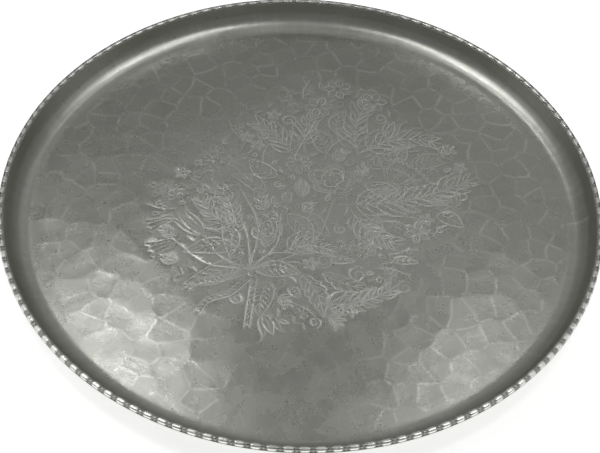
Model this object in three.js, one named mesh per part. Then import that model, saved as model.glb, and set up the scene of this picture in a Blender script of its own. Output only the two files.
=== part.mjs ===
// Round hammered aluminium plate, about 14 inches across, with a beaded border.
//
// Millimetres, +Z up. The origin is the centre of the underside, so the plate stands
// on the plane z = 0.
//
//   dish         one sheet: flat floor, steep wall, and a narrow lip round its edge
//   core_wire    a wire laid on the lip, which stiffens the edge and backs the beads
//   bead_border  a patterned strip folded round the wire and the lip, and closed under it

import * as THREE from 'three';

// Driving dimensions
const PLATE_RADIUS = 178;
const SHEET = 1.2;
const DEPTH = 15.6; // from the floor's upper face to the lip's
const FLOOR_RADIUS = 160.5;
const COVE_RADIUS = 13; // inner face of the curve between floor and wall
const WALL_SLOPE = THREE.MathUtils.degToRad(75);

const LIP_SHEET = 0.7; // the edge is beaten thinner, to take the border
const LIP_BEND = 0.35; // the bend from the wall into the lip, along and up
const WIRE_DIAMETER = 1;
const STRIP = 0.3; // thickness of the border strip where it is plain
const CLEARANCE = 0.1; // between the sheet, the wire and the strip

const BORDER_REPEATS = 134; // one broad lobe and one notch each
const LOBE = { width: 2.8, height: 1.5 }; // the strip's crown, above the lip
const NOTCH = { width: 2.2, height: 1.38 };
const CROWN_MARGIN = 0.12; // the plain outer lip stands this far outside the lobes
const HEM_HEIGHT = 0.75; // the plain outer lip, from the strip's lowest edge
const HEM_GAP = 0.3; // from the wall to the strip's folded edge

// Fineness of the curves
const DISH_STEPS = BORDER_REPEATS;
const WIRE_SIDES = 6;
const CURVE_DIVISIONS = 3;

// Places worked out from the dimensions above
const lipTop = SHEET + DEPTH;
const lipUnderside = lipTop - LIP_SHEET;
const coveCentre = { r: FLOOR_RADIUS, z: SHEET + COVE_RADIUS };

// The radius of a wall face at a height above its cove, for that face's cove radius.
function wallRadius(coveRadius, z) {
  const coveEnd = {
    r: coveCentre.r + coveRadius * Math.sin(WALL_SLOPE),
    z: coveCentre.z - coveRadius * Math.cos(WALL_SLOPE),
  };
  return coveEnd.r + (z - coveEnd.z) / Math.tan(WALL_SLOPE);
}

const wallTop = { r: wallRadius(COVE_RADIUS, lipTop - LIP_BEND), z: lipTop - LIP_BEND };
const wallOuterTop = wallRadius(COVE_RADIUS + SHEET, lipUnderside);
const crownCentre = PLATE_RADIUS - CROWN_MARGIN - LOBE.width / 2;
const cavityInner = crownCentre - WIRE_DIAMETER / 2 - CLEARANCE;
const cavityOuter = PLATE_RADIUS - STRIP * 2;
const lipEdge = cavityOuter - CLEARANCE;
const wireCentre = { r: crownCentre, z: lipTop + CLEARANCE + WIRE_DIAMETER / 2 };

// An outline in the (radius, height) half-plane, turned about the vertical axis.
function revolve(points, steps) {
  return new THREE.LatheGeometry(points, steps).rotateX(Math.PI / 2);
}

function metal(hex, roughness) {
  return new THREE.MeshStandardMaterial({ color: hex, roughness, metalness: 1 });
}

function named(name, geometry, material) {
  const mesh = new THREE.Mesh(geometry, material);
  mesh.name = name;
  return mesh;
}

// The sheet: up its underside from the axis, round the lip, and back over its top face.
function dishGeometry() {
  const floorAngle = -Math.PI / 2;
  const wallAngle = floorAngle + WALL_SLOPE;
  const outerCove = COVE_RADIUS + SHEET;
  const outline = new THREE.Path();
  outline.moveTo(0, 0);
  outline.lineTo(FLOOR_RADIUS, 0);
  outline.absarc(coveCentre.r, coveCentre.z, outerCove, floorAngle, wallAngle, false);
  outline.lineTo(wallOuterTop, lipUnderside);
  outline.lineTo(lipEdge, lipUnderside);
  outline.lineTo(lipEdge, lipTop);
  outline.lineTo(wallTop.r + LIP_BEND, lipTop);
  outline.lineTo(wallTop.r, wallTop.z);
  outline.absarc(coveCentre.r, coveCentre.z, COVE_RADIUS, wallAngle, floorAngle, true);
  outline.lineTo(0, SHEET);
  return revolve(outline.getPoints(CURVE_DIVISIONS), DISH_STEPS);
}

function wireGeometry() {
  const outline = new THREE.Path();
  outline.absarc(wireCentre.r, wireCentre.z, WIRE_DIAMETER / 2, 0, Math.PI * 2, false);
  return revolve(outline.getPoints(WIRE_SIDES / 2), BORDER_REPEATS);
}

// The strip's section where its crown is `width` across and `height` above the lip. It is
// a hook open towards the wall: hem, crown, then back round the wire and the lip.
function borderOutline({ width, height }) {
  const foot = lipTop + CLEARANCE;
  const hemTop = lipUnderside - CLEARANCE;
  const hemBottom = hemTop - STRIP;
  const hemInner = wallOuterTop + HEM_GAP;
  const cavityTop = wireCentre.z + WIRE_DIAMETER / 2 + CLEARANCE;
  const crownRise = height - CLEARANCE;
  const outline = new THREE.Path();
  outline.moveTo(hemInner, hemBottom);
  outline.lineTo(PLATE_RADIUS, hemBottom);
  outline.lineTo(PLATE_RADIUS, hemBottom + HEM_HEIGHT);
  outline.absellipse(crownCentre, foot, width / 2, crownRise, 0, Math.PI, false, 0);
  outline.lineTo(cavityInner, foot);
  outline.lineTo(cavityInner, cavityTop);
  outline.lineTo(cavityOuter, cavityTop);
  outline.lineTo(cavityOuter, hemTop);
  outline.lineTo(hemInner, hemTop);
  outline.closePath();
  return outline.getPoints(CURVE_DIVISIONS);
}

// Lobe sections and notch sections take turns round the edge.
function borderGeometry() {
  const steps = BORDER_REPEATS * 2;
  const notch = borderOutline(NOTCH);
  const ring = new THREE.LatheGeometry(borderOutline(LOBE), steps);
  for (let step = 1; step < steps; step += 2) {
    const angle = (step / steps) * Math.PI * 2;
    notch.forEach((point, index) => {
      const x = point.x * Math.sin(angle);
      const z = point.x * Math.cos(angle);
      ring.attributes.position.setXYZ(step * notch.length + index, x, point.y, z);
    });
  }
  return ring.rotateX(Math.PI / 2);
}

const plate = new THREE.Group();
plate.add(named('dish', dishGeometry(), metal(0x85867f, 0.42)));
plate.add(named('core_wire', wireGeometry(), metal(0x9a9b95, 0.5)));
plate.add(named('bead_border', borderGeometry(), metal(0x94958d, 0.3)));

export default plate;
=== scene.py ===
"""Looks of a round hammered-aluminium plate with a beaded border.

The plate is made in millimetres and turned into metres as each mesh is written.
Its solids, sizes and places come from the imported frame.
"""
import math

import bpy
import numpy as np
from mathutils import Matrix, Vector
from mathutils.geometry import delaunay_2d_cdt


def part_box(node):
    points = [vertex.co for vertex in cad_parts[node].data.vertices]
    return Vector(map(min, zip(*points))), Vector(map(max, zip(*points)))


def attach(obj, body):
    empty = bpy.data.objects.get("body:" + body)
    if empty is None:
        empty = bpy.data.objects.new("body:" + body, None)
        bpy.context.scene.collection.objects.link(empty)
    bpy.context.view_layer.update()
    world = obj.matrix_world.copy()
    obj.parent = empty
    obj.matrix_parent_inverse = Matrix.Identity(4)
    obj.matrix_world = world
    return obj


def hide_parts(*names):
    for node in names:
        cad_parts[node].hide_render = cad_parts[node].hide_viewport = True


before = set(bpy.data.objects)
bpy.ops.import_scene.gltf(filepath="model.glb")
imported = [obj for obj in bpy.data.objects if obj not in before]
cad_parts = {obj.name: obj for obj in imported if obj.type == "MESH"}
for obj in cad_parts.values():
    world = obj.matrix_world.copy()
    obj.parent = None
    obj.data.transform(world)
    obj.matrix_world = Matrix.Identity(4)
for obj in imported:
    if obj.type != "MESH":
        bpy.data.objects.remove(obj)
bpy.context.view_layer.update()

MM = 0.001
TURN = 2 * math.pi

# The plate's section, in millimetres
SHEET = 1.2
LIP_SHEET = 0.7
FLOOR_RADIUS = 158.5
COVE_RADIUS = 13.0
LEAD_IN = 4.0 # the length over which the floor eases into the cove
WALL_SLOPE = math.radians(75)
LIP_BEND = 0.35
BORDER_REPEATS = 134

# How finely the turned parts are made
RING_STEPS = BORDER_REPEATS * 6
COVE_RINGS = 20
UNDERSIDE_RINGS = 9
SECTION_STEPS = 20 # steps along the wall's section for each ring

# The border, above and round the lip
CLEARANCE = 0.1
WIRE_RADIUS = 0.5
LOBE_WIDTH = 2.8
CROWN_MARGIN = 0.12
HEM_HEIGHT = 0.75
HEM_REACH = 1.28 # how far the hem runs in under the lip
INNER_EXTRA = 0.45 # how much wider a lobe is on its inner side
CORE_HALF_WIDTH = 0.86
CORE_RISE = 1.22
RIB_OFFSET = 0.09 # as shares of one repeat
RIB_HALF_LENGTH = 0.24
BEAD_HALF_LENGTH = 0.12
BEAD_SWELL = 0.5
BORDER_STEPS = 24
CROWN_POINTS = 13
CROWN_SQUARENESS = 0.78

# Planishing marks
MARK_PITCH = 15.5
MARK_JITTER = 0.43
MARK_DEPTH = 0.055
MARK_TILT = 0.0045
RIDGE_HALF_WIDTH = 1.25
MARK_BLEND = 1.3
MARK_WOBBLE = 0.55
WALL_MARKS = 118
WALL_MARK_DEPTH = 0.045

# The engraved spray: the half widths and depth of its cuts, and its place on the floor
BOLD = 0.52
FINE = 0.36
CUT_DEPTH = 0.12
SPRAY_CENTRE = np.array([0.0, 2.8])
FILL_GAP = 2.8
FILL_TRIES = 6000
SPRINKLE_GAP = 2.3
SPRINKLE_TRIES = 9000


def box_mm(node):
    """The lowest and highest corners of a CAD node, in millimetres."""
    low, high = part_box(node)
    return np.array(low) / MM, np.array(high) / MM


# ---------------------------------------------------------------- mesh helpers

def smoothstep(low, high, value):
    t = np.clip((value - low) / (high - low), 0.0, 1.0)
    return t * t * (3 - 2 * t)


def new_object(name, vertices, faces, attributes=None, sharp_angle=40):
    """A mesh object from millimetre vertices, smooth shaded, with float attributes."""
    mesh = bpy.data.meshes.new(name)
    mesh.from_pydata((np.asarray(vertices) * MM).tolist(), [], faces)
    mesh.validate()
    mesh.update()
    mesh.shade_smooth()
    mesh.set_sharp_from_angle(angle=math.radians(sharp_angle))
    for key, values in (attributes or {}).items():
        layer = mesh.attributes.new(key, "FLOAT", "POINT")
        layer.data.foreach_set("value", np.asarray(values, dtype=np.float32))
    obj = bpy.data.objects.new(name, mesh)
    bpy.context.collection.objects.link(obj)
    return obj


def circle(radius, steps, z=0.0):
    angle = np.arange(steps) / steps * TURN
    return np.stack([radius * np.cos(angle), radius * np.sin(angle), np.full(steps, z)], 1)


def band_faces(inner, outer, steps, upward=True):
    """Quads between two rings whose first vertices are numbered inner and outer."""
    faces = []
    for i in range(steps):
        j = (i + 1) % steps
        quad = (inner + i, outer + i, outer + j, inner + j)
        faces.append(quad if upward else quad[::-1])
    return faces


def thin_out(groups, floor_radius):
    """Joins groups of points, dropping each that is too near one that was kept before.

    A group is (points, a value for each of them, the least spacing).
    """
    kept, values = [], []
    taken = {}
    cell = 0.5
    for points, weights, spacing in groups:
        reach = int(math.ceil(spacing / cell))
        for (x, y), weight in zip(points.tolist(), np.broadcast_to(weights, len(points)).tolist()):
            if math.hypot(x, y) > floor_radius:
                continue
            column, row = int(math.floor(x / cell)), int(math.floor(y / cell))
            near = False
            for i in range(column - reach, column + reach + 1):
                for j in range(row - reach, row + reach + 1):
                    for px, py in taken.get((i, j), ()):
                        if (px - x) ** 2 + (py - y) ** 2 < spacing * spacing:
                            near = True
            if not near:
                taken.setdefault((column, row), []).append((x, y))
                kept.append((x, y))
                values.append(weight)
    return np.array(kept), np.array(values)


def triangulate(points):
    """Delaunay triangles of 2-D points, anticlockwise, in the points' own numbering."""
    result = delaunay_2d_cdt([Vector(p) for p in points.tolist()], [], [], 0, 1e-6, False)
    vertices, faces = result[0], result[2]
    assert len(vertices) == len(points)
    return [tuple(face) for face in faces]


# ------------------------------------------------------------- planishing marks

class Marks:
    """Flattish hammer marks that meet in low ridges, as irregular polygons."""

    def __init__(self, seed, radius):
        rng = np.random.default_rng(seed)
        rows = int(radius / MARK_PITCH) + 3
        seeds = []
        for row in range(-rows, rows + 1):
            for column in range(-rows, rows + 1):
                x = (column + 0.5 * (row % 2)) * MARK_PITCH
                seeds.append((x, row * MARK_PITCH * 0.87))
        seeds = np.array(seeds)
        seeds += rng.uniform(-MARK_JITTER, MARK_JITTER, seeds.shape) * MARK_PITCH
        self.seeds = seeds[np.hypot(seeds[:, 0], seeds[:, 1]) < radius + MARK_PITCH * 1.5]
        self.tilt = rng.normal(0, MARK_TILT, self.seeds.shape)
        self.depth = MARK_DEPTH * rng.uniform(0.5, 1.3, len(self.seeds))
        self.tone = rng.uniform(0, 1, len(self.seeds))

    def ridges(self):
        """The ends of each ridge: the borders between neighbouring marks."""
        triangles = triangulate(self.seeds)
        centres = []
        sharing = {}
        for number, triangle in enumerate(triangles):
            a, b, c = self.seeds[list(triangle)]
            side_b, side_c = b - a, c - a
            twice = 2 * (side_b[0] * side_c[1] - side_b[1] * side_c[0])
            square_b, square_c = side_b @ side_b, side_c @ side_c
            x = (side_c[1] * square_b - side_b[1] * square_c) / twice
            y = (side_b[0] * square_c - side_c[0] * square_b) / twice
            centres.append(a + (x, y))
            for p, q in ((0, 1), (1, 2), (2, 0)):
                key = frozenset((triangle[p], triangle[q]))
                sharing.setdefault(key, []).append(number)
        return [(centres[t[0]], centres[t[1]]) for t in sharing.values() if len(t) == 2]

    def heights(self, points):
        """Height, and the tone of the nearest mark, at each point."""
        straight = points
        for _ in range(4):
            straight = points - wobble(straight)
        points = straight
        height = np.zeros(len(points))
        tone = np.zeros(len(points))
        for start in range(0, len(points), 4000):
            gap = points[start:start + 4000, None, :] - self.seeds[None, :, :]
            distance = np.hypot(gap[..., 0], gap[..., 1])
            order = np.argpartition(distance, 3, axis=1)[:, :4]
            near = np.take_along_axis(distance, order, 1)
            weight = np.exp((near.min(1, keepdims=True) - near) / MARK_BLEND)
            weight /= weight.sum(1, keepdims=True)
            bowl = self.depth[order] * ((near / (MARK_PITCH / 2)) ** 2 - 0.5)
            offset = np.take_along_axis(gap, order[..., None], 1)
            lean = (offset * self.tilt[order]).sum(2)
            height[start:start + 4000] = (weight * (bowl + lean)).sum(1)
            tone[start:start + 4000] = (weight * self.tone[order]).sum(1)
        return height, tone


def wobble(points):
    """Bends straight lines a little, as the hammer's blows did."""
    x, y = points[:, 0], points[:, 1]
    return np.stack([np.sin(y / 3.1 + np.sin(x / 6)) + np.sin(y / 5.7 - x / 9),
                     np.sin(x / 3.4 + np.sin(y / 7)) + np.sin(x / 6.1 + y / 8)], 1) * MARK_WOBBLE


def rails(segments, half_width, step, rng):
    """Points along segments, on the line with the line's strength, and on both sides of it."""
    middle, strengths, sides = [], [], []
    for start, end in segments:
        along = end - start
        length = math.hypot(*along)
        strength = rng.uniform(0.1, 1.0)
        if length < 1e-6:
            continue
        across = np.array([-along[1], along[0]]) / length * half_width
        count = max(1, int(round(length / step)))
        for i in range(count + 1):
            point = start + along * (i / count)
            middle.append(point)
            strengths.append(strength)
            sides.extend((point + across, point - across))
    middle, sides = np.array(middle), np.array(sides)
    return middle + wobble(middle), np.array(strengths), sides + wobble(sides)


def lattice(radius, pitch):
    count = int(radius / pitch) + 1
    points = []
    for row in range(-count, count + 1):
        for column in range(-count, count + 1):
            points.append(((column + 0.5 * (row % 2)) * pitch, row * pitch * 0.87))
    points = np.array(points)
    return points[np.hypot(points[:, 0], points[:, 1]) < radius - pitch * 0.5]


# ------------------------------------------------------------ the engraved spray

def smooth_line(knots, step=0.85):
    """Evenly spaced points along a smooth curve through the knots."""
    knots = np.asarray(knots, float)
    if len(knots) > 2:
        ends = np.vstack([2 * knots[0] - knots[1], knots, 2 * knots[-1] - knots[-2]])
        t = np.linspace(0, 1, 7)[:-1, None]
        pieces = []
        for a, b, c, d in zip(ends, ends[1:], ends[2:], ends[3:]):
            cubic = (3 * b - a - 3 * c + d) * t ** 3
            pieces.append(0.5 * (2 * b + (c - a) * t + (2 * a - 5 * b + 4 * c - d) * t * t + cubic))
        knots = np.vstack(pieces + [knots[-1:]])
    length = np.concatenate([[0], np.cumsum(np.hypot(*np.diff(knots, axis=0).T))])
    place = np.linspace(0, length[-1], max(2, int(round(length[-1] / step)) + 1))
    return np.column_stack([np.interp(place, length, knots[:, k]) for k in (0, 1)])


def axes(base, tip):
    """A map from (share of the way from base to tip, millimetres to its left) to the floor."""
    base, along = np.array(base, float), np.array(tip, float) - base
    left = np.array([-along[1], along[0]]) / math.hypot(*along)
    return lambda u, v: base + np.outer(u, along) + np.outer(v, left)


def polar(centre, radius, angle):
    """Points round a centre; radius and angle may be arrays."""
    return np.column_stack([centre[0] + radius * np.cos(angle), centre[1] + radius * np.sin(angle)])


SPRAY_OUTLINE = np.array([
    (-92, -30), (-88, 10), (-64, 38), (-40, 66), (-22, 88), (10, 108), (45, 100), (60, 80),
    (90, 58), (106, 32), (98, 0), (78, -22), (60, -48), (54, -62), (30, -84), (5, -94),
    (-18, -92), (-42, -76), (-64, -60)])
SPRAY_HEART = (-28, -50) # the small leaves point away from here


def away_from_heart(x, y):
    return math.atan2(y - SPRAY_HEART[1], x - SPRAY_HEART[0])


def inside(outline, x, y):
    """Whether a point lies inside a closed outline."""
    crossings = False
    for (ax, ay), (bx, by) in zip(outline, np.roll(outline, -1, axis=0)):
        if (ay > y) != (by > y) and x < ax + (y - ay) / (by - ay) * (bx - ax):
            crossings = not crossings
    return crossings


class Spray:
    """A spray of flowers and leaves, kept as lines with the half width of each cut."""

    def __init__(self, seed):
        self.lines = []
        self.rng = np.random.default_rng(seed)

    def cut(self, knots, half_width=BOLD):
        self.lines.append((smooth_line(knots) + SPRAY_CENTRE, half_width))

    def petal(self, base, tip, half, bend=0.0, ribs=1):
        at = axes(base, tip)
        u = np.linspace(0, 1, 7)
        middle = bend * np.sin(math.pi * u)
        for side in (-1, 1):
            self.cut(at(u, middle + side * half * np.sin(math.pi * u ** 0.85)))
        for k in range(ribs):
            shift = half * (0.7 * (k + 0.5) / ribs - 0.35)
            self.cut(at(u[1:-1], middle[1:-1] + shift), FINE)

    def leaf(self, base, tip, half, bend=0.0, veins=4, teeth=0):
        at = axes(base, tip)
        u = np.linspace(0, 1, max(9, teeth * 4 + 1))
        middle = bend * np.sin(math.pi * u)
        swell = half * np.sin(math.pi * u ** 0.8)
        if teeth:
            swell *= 0.85 + 0.3 * (np.arange(len(u)) % 4 / 3)
        for side in (-1, 1):
            self.cut(at(u, middle + side * swell))
            for k in range(veins):
                start = 0.14 + 0.6 * k / veins
                end = start + 0.17
                reach = 0.78 * half * math.sin(math.pi * end ** 0.8)
                ends = [bend * math.sin(math.pi * start), bend * math.sin(math.pi * end) + side * reach]
                self.cut(at([start, end], ends), FINE)
        self.cut(at(u[:-1], middle[:-1]), FINE)

    def frond(self, base, tip, bend, pairs, length, lean=0.6):
        at = axes(base, tip)
        u = np.linspace(0, 1, 12)
        stem = at(u, bend * np.sin(math.pi * u))
        self.cut(stem)
        for k in range(pairs):
            share = 0.12 + 0.85 * k / pairs
            here, ahead = (at([w], [bend * math.sin(math.pi * w)])[0] for w in (share, share + 0.03))
            way = math.atan2(*(ahead - here)[::-1])
            for side in (-1, 1):
                size = length * (1 - 0.5 * share) * self.rng.uniform(0.75, 1.2)
                angle = way + side * lean * self.rng.uniform(0.8, 1.2)
                leaf_tip = here + size * np.array([math.cos(angle), math.sin(angle)])
                self.petal(here, leaf_tip, size * 0.13, side * size * 0.1, ribs=0)

    def rose(self, centre, width, height, turn=0.0):
        """Cupped petals in three rings round a curled heart."""
        centre = np.array(centre, float)
        scale = np.array([width, height])

        def draw(radius, angle, half_width=BOLD):
            self.cut(centre + polar((0, 0), radius, angle + turn) * scale, half_width)

        angle = np.linspace(0, 1.5 * TURN, 16)
        draw(0.08 + 0.2 * angle / angle[-1], angle, FINE)
        spread = np.linspace(-1, 1, 11)
        for ring, (radius, petals) in enumerate(((0.5, 3), (0.76, 4), (1.04, 5))):
            for k in range(petals):
                middle = TURN * (k + 0.45 * ring) / petals + self.rng.uniform(-0.2, 0.2)
                half = self.rng.uniform(0.58, 0.72) * TURN / petals
                reach = radius * self.rng.uniform(0.9, 1.06)
                cup = 1 - 0.42 * np.abs(spread) ** 2.4 + 0.05 * np.cos(spread * 5 + k)
                draw(reach * cup, middle + spread * half)
                if ring == 2:
                    draw(reach * (cup[2:9] - 0.13), middle + spread[2:9] * half, FINE)
                if ring:
                    lengths = reach * np.array([0.66, 0.74, 0.8])
                    draw(lengths, middle + 0.25 * half * np.array([0.8, 1, 1.1]), FINE)

    def tulip(self, base, tip, half):
        at = axes(base, tip)
        self.petal(base, tip, half * 0.5)
        u = np.array([0, 0.25, 0.6, 0.85, 1.05])
        for side in (-1, 1):
            self.cut(at(u, side * half * np.array([0.1, 0.8, 1.0, 0.95, 1.25])))
            self.cut(at(u[1:], side * half * np.array([0.35, 0.5, 0.62, 1.2])), FINE)

    def blossom(self, centre, radius, petals, turn=0.0):
        for k in range(petals):
            angle = turn + TURN * k / petals
            ends = [polar(centre, share * radius, np.array([angle]))[0] for share in (0.22, 1.0)]
            self.petal(ends[0], ends[1], radius * 0.24)
        self.cut(polar(centre, 0.2 * radius, np.linspace(0, TURN, 8)), FINE)

    def bell(self, base, tip, half):
        at = axes(base, tip)
        for side in (-1, 1):
            self.cut(at([0, 0.15, 0.6, 1.0], side * half * np.array([0.15, 0.55, 0.7, 1.1])))
            self.cut(at([0.2, 0.9], side * half * np.array([0.15, 0.35])), FINE)
        v = np.linspace(-1.1, 1.1, 13)
        self.cut(at(1 + 0.08 * np.cos(v * 8), v * half))

    def beads(self, centre, spread, count, radius, lobes=0):
        """Rings, or small lobed blossoms, scattered evenly over an ellipse."""
        for k in range(count):
            out = math.sqrt((k + 0.5) / count)
            angle = k * 2.4 + 0.3
            place = np.array(centre) + out * np.array([math.cos(angle), math.sin(angle)]) * spread
            round_it = np.linspace(0, TURN, 17 if lobes else 8)
            size = radius * (1 + 0.35 * np.cos(round_it * lobes)) * self.rng.uniform(0.8, 1.2)
            self.cut(polar(place, size, round_it + angle), FINE)

    def tendril(self, start, end, waves, height):
        u = np.linspace(0, 1, waves * 4 + 1)
        self.cut(axes(start, end)(u, height * np.sin(u * waves * TURN)), FINE)

    def scroll(self, centre, radius, turns, start):
        angle = np.linspace(0, turns * TURN, int(12 * turns) + 3)
        self.cut(polar(centre, radius * (1 - 0.75 * angle / angle[-1]), start + angle))

    def ribbon(self, knots, width):
        middle = smooth_line(knots, 3.0)
        along = np.gradient(middle, axis=0)
        left = np.column_stack([-along[:, 1], along[:, 0]]) / np.hypot(*along.T)[:, None]
        edges = [middle + left * width * side for side in (-0.5, 0.5)]
        for edge in edges:
            self.cut(edge)
        self.cut([edges[0][-1], middle[-1] - along[-1] * 0.8, edges[1][-1]])
        for k in range(1, len(middle) - 1):
            self.cut([edges[0][k] * 0.7 + edges[1][k] * 0.3, edges[0][k] * 0.3 + edges[1][k - 1] * 0.7], FINE)

    def fan(self, base, tip, opening, rays):
        """A carnation: rays that open from a cup to a ragged edge."""
        base, tip = np.array(base, float), np.array(tip, float)
        way, length = math.atan2(*(tip - base)[::-1]), math.hypot(*(tip - base))
        for share, half_width in ((1.0, BOLD), (0.72, FINE)):
            angle = np.linspace(-opening, opening, rays * 4 + 1)
            ragged = length * share * (1 - 0.09 * (np.arange(len(angle)) % 2))
            self.cut(polar(base, ragged, way + angle), half_width)
        for k in range(rays + 1):
            angle = way + opening * (2 * k / rays - 1)
            bowed = np.array([0, 0.06, 0.0]) * (1 if k % 2 else -1)
            self.cut(polar(base, length * np.array([0.3, 0.6, 0.95]), angle + bowed), FINE)
        self.cut(polar(base, length * 0.3, way + np.linspace(-opening, opening, 7)))
        for side in (-1, 1):
            self.cut(polar(base, length * np.array([0.0, 0.3]), way + side * opening * 0.6))

    def fill(self, outline, gap):
        """Small leaves, curls and florets wherever the spray leaves a gap inside the outline."""
        taken = set()
        seen = 0
        for _ in range(FILL_TRIES):
            for line, _ in self.lines[seen:]:
                taken.update((int(x // gap), int(y // gap)) for x, y in line - SPRAY_CENTRE)
            seen = len(self.lines)
            x, y = self.rng.uniform(outline.min(0), outline.max(0))
            column, row = int(x // gap), int(y // gap)
            near = any((column + i, row + j) in taken for i in (-1, 0, 1) for j in (-1, 0, 1))
            if near or not inside(outline, x, y):
                continue
            way = away_from_heart(x, y) + self.rng.uniform(-0.6, 0.6)
            step = self.rng.uniform(5, 8) * np.array([math.cos(way), math.sin(way)])
            base, tip = np.array([x, y]) - step, np.array([x, y]) + step
            kind = self.rng.integers(6)
            if kind == 0:
                self.frond(base, tip, 1.5, 3, 8)
            elif kind == 1:
                self.leaf(base, tip, 3, 1, 3)
            elif kind == 2:
                for bend in (3, 0.5, -2.5):
                    self.petal(base, tip + self.rng.uniform(-2, 2, 2), 1.2, bend)
            elif kind == 3:
                self.cut(axes(base, tip)([0, 0.5, 1.1], [0, 1.5, -1]), FINE)
                self.scroll((x, y), 2.6, 1.2, way)
            elif kind == 4:
                self.blossom((x, y), 5, 5, way)
                self.cut(axes(base, tip)([-0.5, -0.1, 0.2], [2, 1.5, 0]))
            else:
                self.cut(axes(base, tip)([-0.2, 0.5, 1.2], [2, 3.5, 1.5]))
                self.beads((x, y), (5, 4), 4, 1.6, lobes=4)

    def sprinkle(self, outline, gap, tries):
        """Curls, commas and seeds in the last small gaps."""
        taken = {(int(x // gap), int(y // gap)) for line, _ in self.lines for x, y in line - SPRAY_CENTRE}
        for _ in range(tries):
            x, y = self.rng.uniform(outline.min(0), outline.max(0))
            column, row = int(x // gap), int(y // gap)
            near = any((column + i, row + j) in taken for i, j in ((0, 0), (1, 0), (-1, 0), (0, 1), (0, -1)))
            if near or not inside(outline, x, y):
                continue
            way = away_from_heart(x, y) + self.rng.uniform(-0.9, 0.9)
            size = self.rng.uniform(0.8, 1.6)
            curl = self.rng.choice((-1, 1))
            kind = self.rng.integers(3)
            if kind == 0:
                angle = way + curl * np.linspace(0, 4.6, 9)
                self.cut(polar((x, y), size * np.linspace(2.4, 0.9, 9), angle), FINE)
            elif kind == 1:
                for bow in (1.1, 0.2):
                    ends = polar((x, y), 2.6 * size, np.array([way + math.pi, way]))
                    self.cut(axes(*ends)([0, 0.5, 1], [0, curl * bow, 0]), FINE)
            else:
                ends = polar((x, y), 2.4 * size, np.array([way + math.pi, way]))
                self.petal(ends[0], ends[1], 1.1, ribs=0)
            reach = [(column + i, row + j) for i in (-1, 0, 1) for j in (-1, 0, 1)]
            taken.update(reach)

    def thistle(self, centre, way, radius):
        for k in range(9):
            angle = way + (k - 4) * 0.36
            ends = [polar(centre, share * radius, np.array([angle]))[0] for share in (0.3, 1 - 0.1 * (k % 2))]
            self.petal(ends[0], ends[1], radius * 0.1, ribs=0)
        for share in (0.32, 0.2):
            self.cut(polar(centre, share * radius, np.linspace(0, TURN, 10)), FINE)


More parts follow.
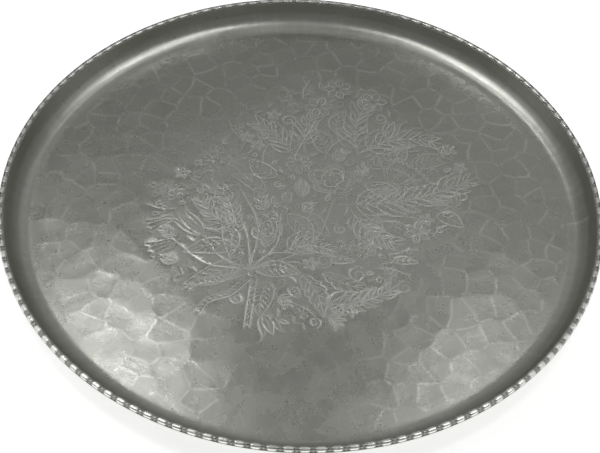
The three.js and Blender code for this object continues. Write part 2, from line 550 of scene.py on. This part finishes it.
def draw_spray():
    """A loose generic spray: two roses, smaller flowers, fronds, and stems tied with a ribbon."""
    spray = Spray(5)
    knot = (-28, -52)
    # the roses and the flowers round them
    spray.rose((18, 22), 15, 13, 0.4)
    spray.rose((-20, -20), 9, 13, 1.2)
    spray.fan((52, 14), (68, 38), 0.75, 6)
    spray.blossom((8, 86), 10, 6, 0.2)
    spray.blossom((20, 104), 10, 7, 0.5)
    spray.blossom((43, 93), 10, 6, 0.1)
    spray.blossom((70, -17), 9, 6, 0.4)
    spray.blossom((-3, 34), 9, 8, 0.1)
    spray.tulip((-57, -28), (-74, -12), 6)
    spray.tulip((-18, -84), (-12, -98), 6)
    spray.tulip((52, 60), (57, 76), 5)
    spray.bell((-76, -15), (-90, -24), 5)
    spray.bell((-73, -34), (-87, -42), 6)
    spray.bell((-38, 12), (-52, 3), 6)
    spray.beads((-81, 6), (13, 6), 16, 1.5)
    spray.beads((-52, 33), (16, 12), 22, 2.3, lobes=5)
    spray.beads((35, -30), (14, 8), 16, 2.2, lobes=4)
    spray.beads((88, 6), (10, 6), 9, 2.0, lobes=4)
    spray.thistle((28, -72), -1.2, 12)
    # long fronds and sprays of leaves
    spray.frond((22, 2), (107, 30), -7, 13, 21)
    spray.frond((34, 44), (40, 92), 5, 7, 20)
    spray.frond((34, 46), (88, 58), 8, 7, 19)
    spray.frond((-6, 40), (-34, 70), -4, 7, 17)
    spray.frond((0, 48), (6, 78), 3, 5, 16)
    spray.frond((-34, -20), (-60, 2), 6, 6, 15)
    spray.frond((30, -2), (58, -28), -4, 7, 17)
    spray.frond((-10, -38), (22, -36), 5, 6, 14)
    spray.frond((12, -74), (58, -58), -6, 7, 14)
    spray.frond((-40, -30), (-52, 12), -5, 6, 13)
    # broad leaves
    spray.leaf((-33, -44), (-66, -66), 7, 3, 5)
    spray.leaf((-25, -52), (2, -53), 6, 2, 5)
    spray.leaf((-17, -60), (-20, -86), 7, -2, 5)
    spray.leaf((2, -54), (16, -84), 6, 3, 5, teeth=6)
    spray.leaf((-8, -8), (8, -30), 6, 2, 5)
    spray.leaf((-36, -36), (-68, -42), 6, -3, 4)
    spray.leaf((-44, -18), (-40, -44), 5, 2, 4)
    spray.leaf((38, 20), (62, 2), 6, 4, 5)
    spray.leaf((40, 34), (58, 54), 6, -3, 4, teeth=5)
    spray.leaf((66, 36), (94, 44), 6, 3, 5)
    spray.leaf((14, -52), (46, -62), 5, -3, 4, teeth=5)
    spray.leaf((-16, 22), (-34, 36), 6, 2, 4)
    spray.leaf((-22, 8), (-44, 22), 5, -3, 4)
    spray.leaf((14, 44), (2, 66), 6, -3, 4)
    spray.leaf((82, -2), (98, -12), 5, 2, 3)
    spray.leaf((6, -6), (18, -24), 5, -2, 3)
    spray.leaf((46, -6), (40, -26), 4, 2, 3)
    spray.leaf((20, 62), (26, 84), 5, 3, 4)
    # stems gathered at the knot
    for end, bow in (((-24, -33), 2), ((-57, -28), 5), ((-73, -34), 7), ((-38, 12), -8), ((-12, -8), -7),
                     ((0, -38), 6), ((-40, -4), -3), ((20, 6), -14), ((2, -54), 5)):
        middle = axes(knot, end)([0.5], [bow])[0]
        spray.cut([knot, middle, end])
    for start, middle, end in (((12, 36), (18, 52), (34, 66)), ((-6, 40), (2, 62), (8, 78)),
                               ((34, 46), (46, 52), (52, 60)),
                               ((34, 10), (44, 8), (52, 14)), ((-1, -54), (12, -60), (24, -64))):
        spray.cut([start, middle, end])
    spray.beads(knot, (5, 3), 4, 2.0)
    spray.ribbon([(-32, -55), (-43, -60), (-56, -63), (-63, -70)], 3.6)
    spray.ribbon([(-29, -59), (-38, -70), (-50, -76), (-56, -86)], 3.8)
    spray.ribbon([(-25, -60), (-26, -74), (-27, -94)], 3.4)
    # tendrils and scrolls
    spray.tendril((-20, 92), (-3, 85), 3, 1.6)
    spray.tendril((-17, 100), (0, 97), 3, 1.3)
    spray.tendril((-36, 80), (-26, 76), 2, 1.8)
    spray.tendril((62, -24), (50, -46), 3, 2.2)
    spray.tendril((-64, -48), (-70, -64), 2, 1.8)
    spray.tendril((-4, -84), (8, -94), 2, 1.5)
    for centre, radius, turns, start in (
            ((-11, 72), 5, 1.3, 0), ((-26, 58), 4.5, 1.4, 2), ((-11, 84), 4, 1.2, 3),
            ((35, -52), 6, 1.4, 1), ((15, -43), 5.5, 1.6, 4), ((11, -88), 4, 1.3, 5),
            ((62, -60), 5, 1.3, 1), ((98, 14), 5, 1.2, 2), ((-64, 20), 4, 1.4, 0),
            ((48, 78), 4.5, 1.3, 4), ((24, -18), 4, 1.3, 2), ((-34, -74), 4, 1.2, 3)):
        spray.scroll(centre, radius, turns, start)
    spray.fill(SPRAY_OUTLINE, FILL_GAP)
    spray.sprinkle(SPRAY_OUTLINE, SPRINKLE_GAP, SPRINKLE_TRIES)
    return spray.lines


def spray_points(lines):
    """The points on the cuts' centre lines with their depths, and the points on their edges."""
    rng = np.random.default_rng(8)
    middle, depths, sides = [], [], []
    for line, half_width in lines:
        along = np.gradient(line, axis=0)
        left = np.column_stack([-along[:, 1], along[:, 0]]) / (np.hypot(*along.T)[:, None] + 1e-9)
        taper = 0.55 + 0.45 * np.sin(np.linspace(0, math.pi, len(line)))
        middle.append(line)
        depths.append(CUT_DEPTH * half_width / BOLD * rng.uniform(0.55, 1.25) * taper)
        sides += [line + left * half_width, line - left * half_width]
    return np.concatenate(middle), np.concatenate(depths), np.concatenate(sides)


# ------------------------------------------------------------------- the dish

def warp(points):
    """The slow waviness of a hand-worked floor."""
    x, y = points[:, 0], points[:, 1]
    return (0.16 * np.sin(x / 31 + 0.7) * np.sin(y / 37 - 0.4)
            + 0.10 * np.sin((x + y) / 23 + 1.9) + 0.07 * np.sin((x - 0.6 * y) / 17))


def floor_face(seed, mark_strength, lines=()):
    """The points, triangles and attributes of a hammered round floor, cut along the lines."""
    marks = Marks(seed, FLOOR_RADIUS)
    middle, strengths, sides = rails(marks.ridges(), RIDGE_HALF_WIDTH, 1.7, np.random.default_rng(seed + 1))
    groups = [(middle, strengths, 0.8), (sides, 0.0, 0.5), (lattice(FLOOR_RADIUS, 3.6), 0.0, 1.5)]
    if lines:
        cuts, depths, edges = spray_points(lines)
        groups = [(cuts, -depths, 0.3), (edges, 0.0, 0.3)] + groups
    rim = circle(FLOOR_RADIUS, RING_STEPS)[:, :2]
    inner, values = thin_out(groups, FLOOR_RADIUS - 0.9)
    points = np.concatenate([rim, inner])
    values = np.concatenate([np.zeros(len(rim)), values])
    height, tone = marks.heights(points)
    radius = np.hypot(points[:, 0], points[:, 1])
    strength = mark_strength(points, radius)
    settle = smoothstep(FLOOR_RADIUS, FLOOR_RADIUS - 4, radius)
    # the cut depth also becomes the groove attribute, which paints the cuts near white: bright cut metal and
    # a painted highlight
    cut = np.maximum(-values, 0)
    relief = height * strength * settle + warp(points) * smoothstep(FLOOR_RADIUS, 120, radius) - cut
    # ridge carries a painted highlight: the ridges between marks are painted lighter in place of their glints
    looks = {"ridge": np.maximum(values, 0) * strength, "groove": cut / CUT_DEPTH, "tone": tone,
             # the middle of the floor gets a lighter colour, fading out between 60 and 120 mm from the centre
             "lighter_middle": smoothstep(120, 60, radius), "wall": np.zeros(len(points))}
    return points, triangulate(points), relief, looks


def top_strength(points, radius):
    """Marks are plain in the outer ring and were smoothed away in the middle."""
    outer = smoothstep(70, 112, radius)
    front = smoothstep(-60, -95, points[:, 1]) * smoothstep(60, 25, np.abs(points[:, 0]))
    return 0.12 + 0.88 * outer * (1 - 0.75 * front)


def wall_section(thickness, rings, top):
    """(radius, height) pairs from the floor's edge round the cove and up to the wall's top.

    The section of the upper face, or of a face that lies the thickness below it.
    """
    turned = LEAD_IN / (2 * COVE_RADIUS)
    length = LEAD_IN + (WALL_SLOPE - turned) * COVE_RADIUS
    along = np.linspace(0, length, rings * SECTION_STEPS + 1)
    slope = np.where(along < LEAD_IN, along ** 2 / (2 * COVE_RADIUS * LEAD_IN),
                     turned + (along - LEAD_IN) / COVE_RADIUS)
    middle = (slope[1:] + slope[:-1]) / 2
    step = along[1]
    out = FLOOR_RADIUS + np.concatenate([[0], np.cumsum(np.cos(middle)) * step]) + thickness * np.sin(slope)
    up = SHEET + np.concatenate([[0], np.cumsum(np.sin(middle)) * step]) - thickness * np.cos(slope)
    pairs = list(zip(out[SECTION_STEPS::SECTION_STEPS], up[SECTION_STEPS::SECTION_STEPS]))
    r, z = pairs[-1]
    for share in (0.5, 1.0):
        rise = (top - z) * share
        pairs.append((r + rise / math.tan(WALL_SLOPE), z + rise))
    return pairs


def wall_marks(seed):
    """The marks round the wall: inward relief and nearness to a ridge, at each ring step."""
    rng = np.random.default_rng(seed)
    edges = (np.arange(WALL_MARKS) + rng.uniform(-0.33, 0.33, WALL_MARKS)) / WALL_MARKS * RING_STEPS
    depth = WALL_MARK_DEPTH * rng.uniform(0.2, 1.2, WALL_MARKS)
    place = np.arange(RING_STEPS)
    number = np.searchsorted(edges, place, "right") - 1
    start = edges[number]
    end = np.where(number + 1 < WALL_MARKS, edges[(number + 1) % WALL_MARKS], edges[0] + RING_STEPS)
    start = np.where(number < 0, start - RING_STEPS, start)
    end = np.where(number < 0, edges[0], end)
    share = (place - start) / (end - start)
    relief = depth[number] * (4 * (share - 0.5) ** 2 - 0.5)
    gap = np.minimum(place - start, end - place)
    return relief, np.exp(-gap / 0.7) * (depth[number] / WALL_MARK_DEPTH)


def make_dish():
    low, high = box_mm("dish")
    lip_top = high[2]
    lip_edge = high[0]
    upper = wall_section(0, COVE_RINGS, lip_top - LIP_BEND)
    wall_r = upper[-1][0]
    upper += [(wall_r + 0.08, lip_top - 0.12), (wall_r + LIP_BEND, lip_top), (lip_edge, lip_top)]
    lower = wall_section(SHEET, UNDERSIDE_RINGS, lip_top - LIP_SHEET)
    lower += [(lip_edge, lip_top - LIP_SHEET)]

    points, faces, relief, looks = floor_face(11, top_strength, draw_spray())
    vertices = [np.column_stack([points, SHEET + relief])]
    count = len(points)
    layers = {key: [values] for key, values in looks.items()}
    dents, ridges = wall_marks(3)
    previous = 0
    for number, (r, z) in enumerate(upper + lower[::-1]):
        hammered = smoothstep(0, 3, number) * smoothstep(COVE_RINGS + 1, COVE_RINGS - 5, number)
        ring = circle(1, RING_STEPS) * (r - dents * hammered * 0.6)[:, None]
        ring[:, 2] = z + dents * hammered * 0.8
        vertices.append(ring)
        # a weak painted highlight along the ridges between the wall's marks
        layers["ridge"].append(ridges * hammered * 0.3)
        layers["groove"].append(np.zeros(RING_STEPS))
        layers["tone"].append(np.full(RING_STEPS, 0.5))
        layers["lighter_middle"].append(np.zeros(RING_STEPS))
        layers["wall"].append(np.full(RING_STEPS, smoothstep(0, 7, number)))
        faces += band_faces(previous, count, RING_STEPS)
        previous = count
        count += RING_STEPS

    points, under, relief, looks = floor_face(29, lambda p, r: np.full(len(r), 0.6))
    settle = smoothstep(FLOOR_RADIUS, FLOOR_RADIUS - 6, np.hypot(points[:, 0], points[:, 1]))
    vertices.append(np.column_stack([points, np.maximum(relief - relief.min(), 0) * settle * 0.8]))
    for key, values in looks.items():
        layers[key].append(values)
    faces += band_faces(previous, count, RING_STEPS)
    faces += [(a + count, c + count, b + count) for a, b, c in under]
    return new_object("hammered_dish", np.concatenate(vertices), faces,
                      {key: np.concatenate(parts) for key, parts in layers.items()})


# ----------------------------------------------------------------- the border

def bump(offset, half_length):
    """A round swelling along the edge: 1 in its middle, 0 from half_length outwards."""
    return np.sqrt(np.clip(1 - (offset / half_length) ** 2, 0, 1))


def crown_swell(along):
    """How far the crown stands out of its core, for a place within one repeat, 0 to 1."""
    offset = np.abs(along - 0.5)
    rib = bump(offset - RIB_OFFSET, RIB_HALF_LENGTH)
    bead = BEAD_SWELL * bump(0.5 - offset, BEAD_HALF_LENGTH)
    return np.maximum(rib, bead)


def make_border():
    """The folded strip: its hem, its crown of ribs and beads, and the hollow for the wire."""
    low, high = box_mm("bead_border")
    edge, hem_bottom, crown_top = high[0], low[2], high[2]
    lip_edge, lip_top = box_mm("dish")[1][[0, 2]]
    foot = lip_top + CLEARANCE
    crown_middle = edge - CROWN_MARGIN - LOBE_WIDTH / 2
    hem_top = lip_top - LIP_SHEET - CLEARANCE
    hem_inner = lip_edge - HEM_REACH
    cavity_outer = lip_edge + CLEARANCE
    cavity_inner = crown_middle - WIRE_RADIUS - CLEARANCE
    cavity_top = foot + 2 * WIRE_RADIUS + CLEARANCE
    steps = BORDER_REPEATS * BORDER_STEPS
    along = (np.arange(steps) / BORDER_STEPS) % 1
    swell = crown_swell(along)
    wander = 1 + 0.05 * np.sin(np.arange(steps) / steps * TURN * 23) * np.sin(np.arange(steps) / 190)
    rise = CORE_RISE + (crown_top - foot - CORE_RISE) * swell
    scallop = np.sqrt(np.clip(1 - (np.abs(along - 0.5) / 0.52) ** 2.6, 0, 1))
    outer_half = CORE_HALF_WIDTH + (LOBE_WIDTH / 2 - CORE_HALF_WIDTH) * swell * wander
    inner_half = CORE_HALF_WIDTH - 0.1 + (LOBE_WIDTH / 2 + INNER_EXTRA - CORE_HALF_WIDTH) * scallop * wander
    section = [(hem_inner, hem_bottom), (edge - 0.12, hem_bottom), (edge, hem_bottom + 0.1),
               (edge, hem_bottom + HEM_HEIGHT - 0.12), (edge - 0.1, hem_bottom + HEM_HEIGHT)]
    rings = [circle(r, steps, z) for r, z in section]
    # each ring's painted light share in the colour mask: the hem's outer face gets half the swell, a painted
    # shade
    painted_light_shares = [(0.0, 0.5)] * len(section)
    direction = circle(1, steps)
    for i in range(CROWN_POINTS):
        angle = math.pi * i / (CROWN_POINTS - 1)
        out = math.copysign(abs(math.cos(angle)) ** CROWN_SQUARENESS, math.cos(angle))
        up = max(0.0, math.sin(angle)) ** CROWN_SQUARENESS
        ring = direction * (crown_middle + (outer_half if out > 0 else inner_half) * out)[:, None]
        ring[:, 2] = foot + np.minimum(rise, crown_top - foot) * up
        rings.append(ring)
        # the inner side of the crown is kept at 0.7 or more: a painted highlight on the side facing the dish
        painted_light_shares.append((0.0 if out > -0.2 else 0.7, 1.0))
    inside = [(cavity_inner, foot), (cavity_inner, cavity_top), (cavity_outer, cavity_top),
              (cavity_outer, hem_top), (hem_inner, hem_top)]
    rings += [circle(r, steps, z) for r, z in inside]
    # the hollow for the wire gets nothing: painted shade
    painted_light_shares += [(0.0, 0.0)] * len(inside)
    faces = []
    for i in range(len(rings)):
        outer = (i + 1) % len(rings) * steps
        faces += band_faces(outer, i * steps, steps)
    # the colour mask: the crown's swell gives painted highlight on the ribs and painted shade between them,
    # adjusted by each ring's share
    height = np.concatenate([np.maximum(swell, side) * on for side, on in painted_light_shares])
    return new_object("beaded_border", np.concatenate(rings), faces, {"swell": height}, 50)


# ------------------------------------------------------------------ materials

class Metal:
    """A metal material built from nodes, which works in the object's own coordinates."""

    def __init__(self, name):
        self.material = bpy.data.materials.new(name)
        self.material.use_nodes = True
        self.nodes = self.material.node_tree.nodes
        self.links = self.material.node_tree.links
        self.shader = self.nodes["Principled BSDF"]
        self.shader.inputs["Metallic"].default_value = 1.0
        self.place = self.nodes.new("ShaderNodeTexCoord").outputs["Object"]

    def put(self, socket, value):
        if isinstance(value, bpy.types.NodeSocket):
            self.links.new(value, socket)
        elif isinstance(value, tuple) and len(value) == 3 and socket.type == "RGBA":
            socket.default_value = (*value, 1)
        else:
            socket.default_value = value

    def noise(self, scale, detail=3.0, roughness=0.55, stretch=None, distortion=0.0):
        node = self.nodes.new("ShaderNodeTexNoise")
        place = self.place
        if stretch:
            mapping = self.nodes.new("ShaderNodeMapping")
            self.put(mapping.inputs["Vector"], place)
            mapping.inputs["Scale"].default_value = stretch[0]
            mapping.inputs["Rotation"].default_value = (0, 0, math.radians(stretch[1]))
            place = mapping.outputs["Vector"]
        self.put(node.inputs["Vector"], place)
        node.inputs["Scale"].default_value = scale
        node.inputs["Detail"].default_value = detail
        node.inputs["Roughness"].default_value = roughness
        node.inputs["Distortion"].default_value = distortion
        return node.outputs["Fac"]

    def spots(self, scale, size):
        """1 inside round spots scattered over the surface, 0 outside."""
        node = self.nodes.new("ShaderNodeTexVoronoi")
        self.put(node.inputs["Vector"], self.place)
        node.inputs["Scale"].default_value = scale
        return self.remap(node.outputs["Distance"], size, size * 0.5, 0, 1)

    def attribute(self, name):
        node = self.nodes.new("ShaderNodeAttribute")
        node.attribute_name = name
        return node.outputs["Fac"]

    def remap(self, value, from_low, from_high, to_low, to_high):
        node = self.nodes.new("ShaderNodeMapRange")
        for key, item in (("Value", value), ("From Min", from_low), ("From Max", from_high),
                          ("To Min", to_low), ("To Max", to_high)):
            self.put(node.inputs[key], item)
        return node.outputs["Result"]

    def maths(self, operation, first, second):
        node = self.nodes.new("ShaderNodeMath")
        node.operation = operation
        self.put(node.inputs[0], first)
        self.put(node.inputs[1], second)
        return node.outputs["Value"]

    def mix(self, share, first, second):
        node = self.nodes.new("ShaderNodeMix")
        node.data_type = "RGBA"
        self.put(node.inputs[0], share)
        self.put(node.inputs[6], first)
        self.put(node.inputs[7], second)
        return node.outputs[2]

    def bump(self, height, distance, strength=1.0, normal=None):
        node = self.nodes.new("ShaderNodeBump")
        self.put(node.inputs["Height"], height)
        node.inputs["Distance"].default_value = distance
        node.inputs["Strength"].default_value = strength
        if normal:
            self.put(node.inputs["Normal"], normal)
        return node.outputs["Normal"]

    def finish(self, colour, roughness, normal):
        self.put(self.shader.inputs["Base Color"], colour)
        self.put(self.shader.inputs["Roughness"], roughness)
        self.put(self.shader.inputs["Normal"], normal)
        return self.material


DULL = (0.40, 0.405, 0.37)
GREY = (0.50, 0.505, 0.465)
CLEAN = (0.62, 0.62, 0.59)
BRIGHT = (0.80, 0.80, 0.77)
# near white: the cuts' bright metal and painted highlight, and the border crowns' painted highlight
POLISH_AND_GLINT = (0.93, 0.93, 0.90)
# dark: for pits, and for the painted shade in the border's hollows
DARK = (0.10, 0.10, 0.09)


def hammered_metal():
    """Old aluminium, hammered and cut: dull in patches, lighter towards the middle and along scratches, with
    a painted highlight on the ridges between marks, and bright cut metal with a painted highlight in the
    engraved cuts.
    """
    metal = Metal("hammered_aluminium")
    patches = metal.remap(metal.noise(16, 3, 0.5), 0.35, 0.65, 0, 1)
    colour = metal.mix(patches, GREY, metal.mix(0.4, GREY, CLEAN))
    colour = metal.mix(metal.remap(metal.noise(45, 5, 0.6), 0.52, 0.72, 0, 0.3), colour, DULL)
    colour = metal.mix(metal.maths("MULTIPLY", metal.attribute("tone"), 0.25), colour, DULL)
    # the colour is lighter towards the middle of the floor
    colour = metal.mix(metal.maths("MULTIPLY", metal.attribute("lighter_middle"), 0.6), colour, CLEAN)
    groove = metal.attribute("groove")
    colour = metal.mix(metal.remap(metal.noise(650, 3, 0.6), 0.35, 0.65, 0, 0.35), colour, DULL)
    # painted highlight: the ridges between marks are painted lighter in place of their glints
    colour = metal.mix(metal.maths("MULTIPLY", metal.attribute("ridge"), 0.62), colour, BRIGHT)
    # the engraved cuts are painted near white: partly bright cut metal, partly a painted highlight in place
    # of the glints off their walls
    colour = metal.mix(metal.maths("MULTIPLY", groove, 0.9), colour, POLISH_AND_GLINT)
    scratch = metal.remap(metal.noise(30, 2, 0.6, ((1, 26, 1), 24)), 0.66, 0.72, 0, 1)
    scuff = metal.remap(metal.noise(34, 2, 0.6, ((24, 1, 1), 12)), 0.68, 0.74, 0, 1)
    marks = metal.maths("MAXIMUM", scratch, scuff)
    colour = metal.mix(metal.maths("MULTIPLY", marks, 0.1), colour, BRIGHT)
    pits = metal.maths("MULTIPLY", metal.spots(120, 0.09), metal.remap(metal.noise(14, 2), 0.5, 0.6, 0, 1))
    colour = metal.mix(metal.maths("MULTIPLY", pits, 0.75), colour, DARK)
    roughness = metal.remap(metal.noise(60, 4, 0.6), 0.3, 0.7, 0.24, 0.31)
    roughness = metal.maths("ADD", roughness, metal.maths("MULTIPLY", groove, 0.1))
    roughness = metal.maths("ADD", roughness, metal.maths("MULTIPLY", metal.attribute("wall"), 0.04))
    normal = metal.bump(metal.noise(170, 4, 0.6), 0.00007)
    normal = metal.bump(metal.noise(330, 3, 0.6), 0.00005, 0.7, normal)
    normal = metal.bump(pits, -0.00003, 0.6, normal)
    return metal.finish(colour, roughness, normal)


def border_metal():
    """The bright rolled border, with a painted highlight on its crowns and painted shade in its hollows."""
    metal = Metal("border_aluminium")
    swell = metal.attribute("swell")
    # the crowns' bright colour, mottled at random: part wear, part painted highlight
    worn_and_sheen = metal.mix(metal.remap(metal.noise(220, 3), 0.35, 0.6, 0, 1), BRIGHT, POLISH_AND_GLINT)
    # painted highlight where the mask is high, on the crowns; painted shade in dark metal where it is low,
    # between the ribs and in the hollows
    colour = metal.mix(metal.remap(swell, 0.4, 0.98, 0, 1), metal.mix(0.5, DARK, DULL), worn_and_sheen)
    roughness = metal.remap(metal.noise(300, 3), 0.3, 0.7, 0.24, 0.36)
    normal = metal.bump(metal.noise(900, 3, 0.6), 0.00005, 0.5)
    return metal.finish(colour, roughness, normal)


def wire_metal():
    """Drawn aluminium wire, dull, with a faint fine bump."""
    metal = Metal("drawn_wire")
    colour = metal.mix(metal.noise(400, 3), DULL, CLEAN)
    roughness = metal.remap(metal.noise(250, 3), 0.3, 0.7, 0.3, 0.45)
    return metal.finish(colour, roughness, metal.bump(metal.noise(1500, 2), 0.00003, 0.4))


# ----------------------------------------------------------- stage and camera

CAMERA_DISTANCE = 0.7412
CAMERA_ELEVATION = math.radians(47.26)
CAMERA_AIM = Vector((-0.0001, -0.0295, 0.01825))
CAMERA_ROLL = math.radians(3.0)
CAMERA_LENS = 74.93
ORBIT_CENTRE = Vector((0, 0, 0.01825))

FLOOR_COLOUR = (0.9, 0.9, 0.89, 1)
FLOOR_GLOW = 0.66
ROOM_COLOUR = (0.186, 0.186, 0.182, 1)
PLATE = (0, 0, 0)
# Each lamp's name, place, the point it faces, its size in metres and its power in watts
LAMPS = (
    ("left_back", (-0.24, 0.42, 0.85), PLATE, (0.09, 0.2), 0.28),
    ("left_over", (-0.18, -0.05, 0.45), (-0.09, -0.02, 0), (0.09, 0.12), 0.15),
    ("left_high", (-0.38, 0.12, 0.85), PLATE, (0.08, 0.11), 0.42),
    ("left_side", (-0.8, 0.1, 1.0), PLATE, (0.6, 0.5), 1.64),
    ("left_low", (-1, 0.1, 0.4), PLATE, (0.6, 0.5), 0.2),
    ("right_back", (0.24, 0.42, 0.85), PLATE, (0.09, 0.2), 0.14),
    ("right_over", (0.18, -0.05, 0.45), (0.09, -0.02, 0), (0.09, 0.12), 0.15),
    ("right_high", (0.38, 0.12, 0.85), PLATE, (0.08, 0.11), 0.36),
    ("right_side", (0.8, 0.1, 1.0), PLATE, (0.6, 0.5), 1.06),
    ("right_low", (1, 0.1, 0.4), PLATE, (0.6, 0.5), 0.2),
    ("behind", (0, 0.62, 0.68), PLATE, (0.3, 0.2), 0.036),
    ("behind_far", (0, 1.0, 0.6), PLATE, (0.6, 0.4), 0.05),
    ("behind_left", (-0.45, 0.9, 0.75), PLATE, (0.5, 0.5), 0.03),
    ("behind_right", (0.45, 0.9, 0.75), PLATE, (0.5, 0.5), 0.127),
)


def make_camera():
    data = bpy.data.cameras.new("camera")
    data.lens = CAMERA_LENS
    data.sensor_width = 36
    camera = bpy.data.objects.new("camera", data)
    bpy.context.collection.objects.link(camera)
    place = ORBIT_CENTRE + CAMERA_DISTANCE * Vector(
        (0, -math.cos(CAMERA_ELEVATION), math.sin(CAMERA_ELEVATION)))
    aim = (CAMERA_AIM - place).to_track_quat("-Z", "Y").to_matrix().to_4x4()
    camera.matrix_world = Matrix.Translation(place) @ aim @ Matrix.Rotation(CAMERA_ROLL, 4, "Z")
    bpy.context.scene.camera = camera


def add_light(name, place, target, size, power):
    data = bpy.data.lights.new(name, "AREA")
    data.shape = "RECTANGLE"
    data.size, data.size_y = size
    data.energy = power
    light = bpy.data.objects.new(name, data)
    bpy.context.collection.objects.link(light)
    light.location = place
    light.rotation_euler = (Vector(target) - Vector(place)).to_track_quat("-Z", "Y").to_euler()
    light.visible_camera = False


def make_stage():
    bpy.ops.mesh.primitive_plane_add(size=6, location=(0, 0, -0.0002))
    floor = bpy.context.object
    floor.name = "floor"
    material = bpy.data.materials.new("pale_floor")
    material.use_nodes = True
    shader = material.node_tree.nodes["Principled BSDF"]
    shader.inputs["Base Color"].default_value = FLOOR_COLOUR
    shader.inputs["Roughness"].default_value = 0.9
    shader.inputs["Emission Color"].default_value = (1, 1, 1, 1)
    shader.inputs["Emission Strength"].default_value = FLOOR_GLOW
    floor.data.materials.append(material)
    world = bpy.context.scene.world or bpy.data.worlds.new("world")
    bpy.context.scene.world = world
    world.use_nodes = True
    world.node_tree.nodes["Background"].inputs["Color"].default_value = ROOM_COLOUR
    for name, place, target, size, power in LAMPS:
        add_light(name, place, target, size, power)
    bpy.context.scene.view_settings.view_transform = "Standard"


def dress(piece, node, material):
    piece.data.materials.append(material)
    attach(piece, "root")
    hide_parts(node)


make_camera()
make_stage()
dress(make_border(), "bead_border", border_metal())
dress(make_dish(), "dish", hammered_metal())
wire = bpy.data.objects["core_wire"]
for holder in wire.material_slots:
    holder.material = wire_metal()
